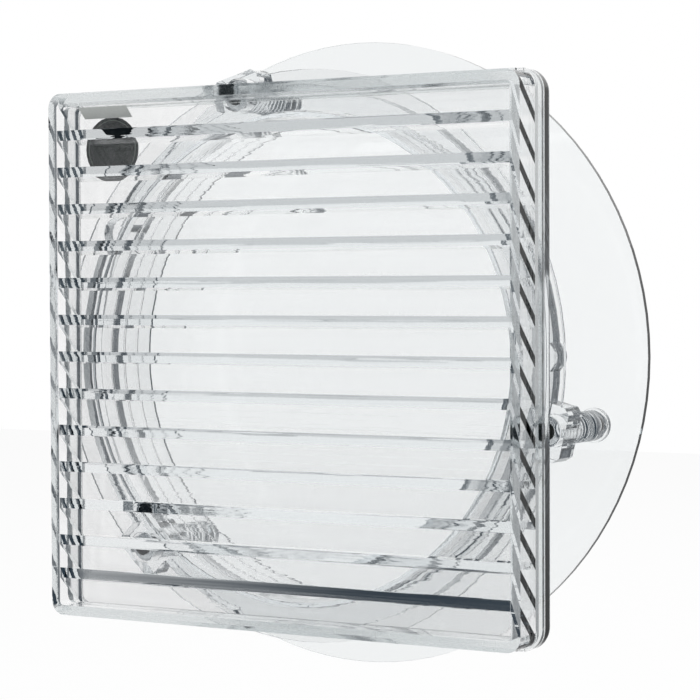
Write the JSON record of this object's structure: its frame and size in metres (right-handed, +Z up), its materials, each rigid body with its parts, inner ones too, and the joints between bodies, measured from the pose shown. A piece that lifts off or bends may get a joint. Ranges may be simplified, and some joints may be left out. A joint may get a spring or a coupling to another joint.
{
  "type": "window ventilator",
  "caption": "Clear plastic window ventilator: square louvred cover, sleeve through the pane, clamp ring with bolts, and a round rain disc outdoors.",
  "frame": {"origin": "on the sleeve's axis, in the plane where the base frame's gasket meets the room side of the pane", "axes": "+X to the right seen from the room, +Y outdoors along the sleeve's axis, +Z up"},
  "size_m": [0.24, 0.0694, 0.24],
  "materials": {
    "clear_plastic": "clear, polished",
    "soft_clear": "clear soft plastic, satin",
    "black_rubber": "matte",
    "black_film": "printed film, satin",
    "grey_film": "printed film, matte"
  },
  "bodies": {
    "base": {"base_frame": "clear_plastic", "pane_gasket": "soft_clear", "round_sticker": "black_film"},
    "cover": {"louvre_cover": "clear_plastic", "area_label": "grey_film"},
    "clamp": {"clamp_ring": "clear_plastic"},
    "disc": {"rain_disc": "clear_plastic", "disc_collar_1": "clear_plastic", "disc_collar_2": "clear_plastic", "disc_collar_3": "clear_plastic"},
    "bolt_1": {"clamp_bolt_1": "clear_plastic", "bolt_pad_1": "black_rubber"},
    "bolt_2": {"clamp_bolt_2": "clear_plastic", "bolt_pad_2": "black_rubber"},
    "bolt_3": {"clamp_bolt_3": "clear_plastic", "bolt_pad_3": "black_rubber"}
  },
  "joints": [
    {"name": "cover_pull", "type": "slide", "parent": "base", "child": "cover", "axis": [0, -1, 0], "range_m": [0, 0.025]},
    {"name": "clamp_slide", "type": "slide", "parent": "base", "child": "clamp", "axis": [0, 1, 0], "range_m": [0, 0.0168]},
    {"name": "disc_advance", "type": "slide", "parent": "clamp", "child": "disc", "axis": [0, 1, 0], "range_m": [-0.0025, 0.0075]},
    {"name": "bolt_1_turn", "type": "hinge", "parent": "disc", "child": "bolt_1", "pos_m": [0.09927, 0.0464, -0.02512], "axis": [0, 1, 0], "range_deg": [-360, 1080]},
    {"name": "bolt_2_turn", "type": "hinge", "parent": "disc", "child": "bolt_2", "pos_m": [-0.02788, 0.0464, 0.09853], "axis": [0, 1, 0], "range_deg": [-360, 1080]},
    {"name": "bolt_3_turn", "type": "hinge", "parent": "disc", "child": "bolt_3", "pos_m": [-0.07139, 0.0464, -0.07341], "axis": [0, 1, 0], "range_deg": [-360, 1080]}
  ],
  "couplings": [
    {"joint": "bolt_1_turn", "follows": "disc_advance", "rad_per_m": 2513.3},
    {"joint": "bolt_2_turn", "follows": "disc_advance", "rad_per_m": 2513.3},
    {"joint": "bolt_3_turn", "follows": "disc_advance", "rad_per_m": 2513.3}
  ]
}
